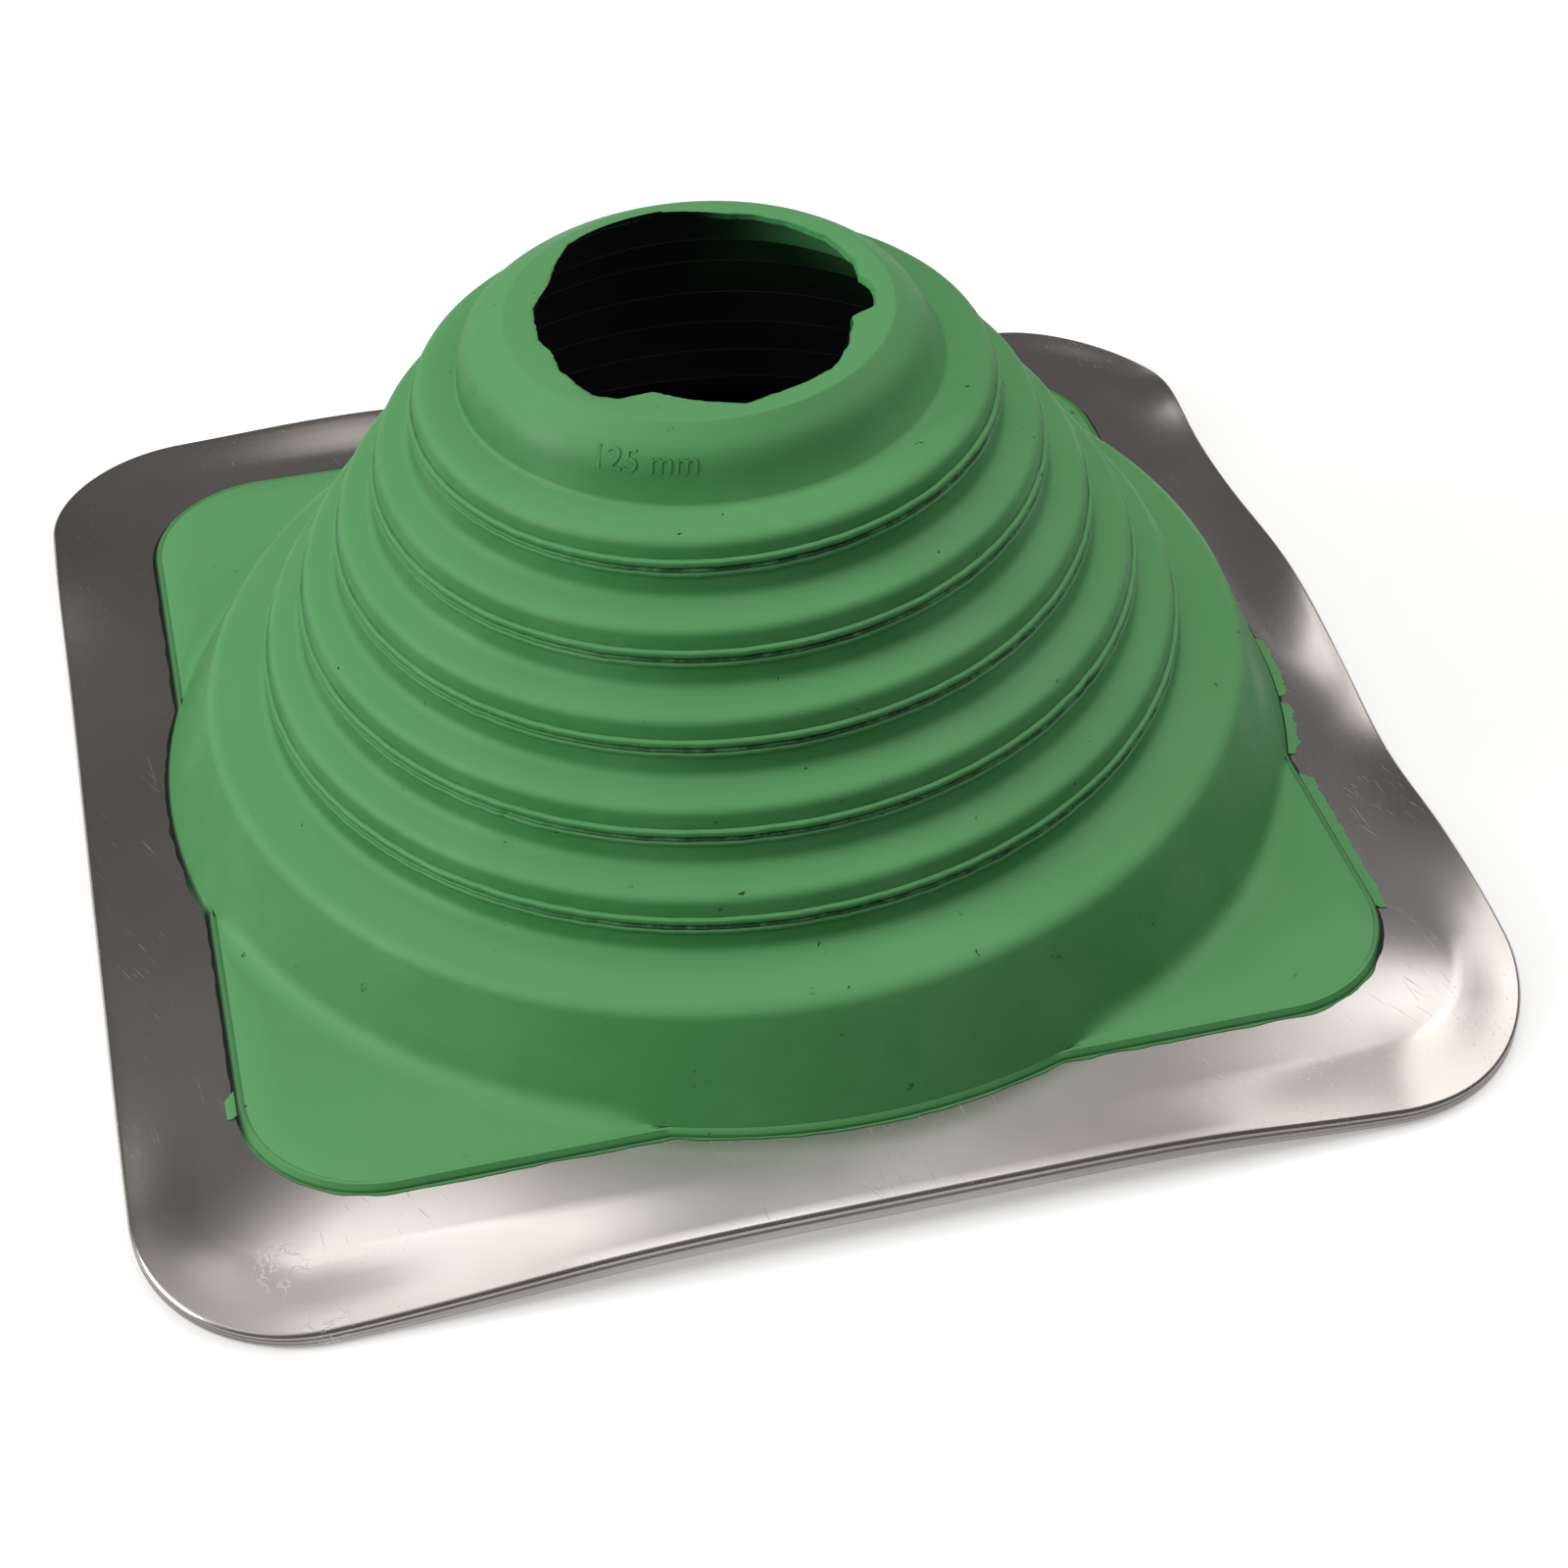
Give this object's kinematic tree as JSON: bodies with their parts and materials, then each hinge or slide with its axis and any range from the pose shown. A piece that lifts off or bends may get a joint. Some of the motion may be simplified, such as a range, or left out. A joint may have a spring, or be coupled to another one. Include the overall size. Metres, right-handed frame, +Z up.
{
  "type": "pipe flashing boot",
  "caption": "Roof pipe flashing boot: stepped rubber cone with trim ribs and a hand-cut top opening, moulded onto a soft square aluminium sheet with a turned-down edge.",
  "frame": {"origin": "under the centre of the square sheet, at the lowest point of its turned-down edge", "axes": "+Z up along the pipe, +X to the right and -Y towards the viewer, both square to the sheet's sides"},
  "size_m": [0.364, 0.364, 0.1549],
  "materials": {
    "green_rubber": "dull moulded EPDM rubber, green",
    "soft_aluminium": "mill finish soft sheet, finely scratched"
  },
  "bodies": {
    "root": {"rubber_boot": "green_rubber", "aluminium_sheet": "soft_aluminium"}
  },
  "joints": []
}
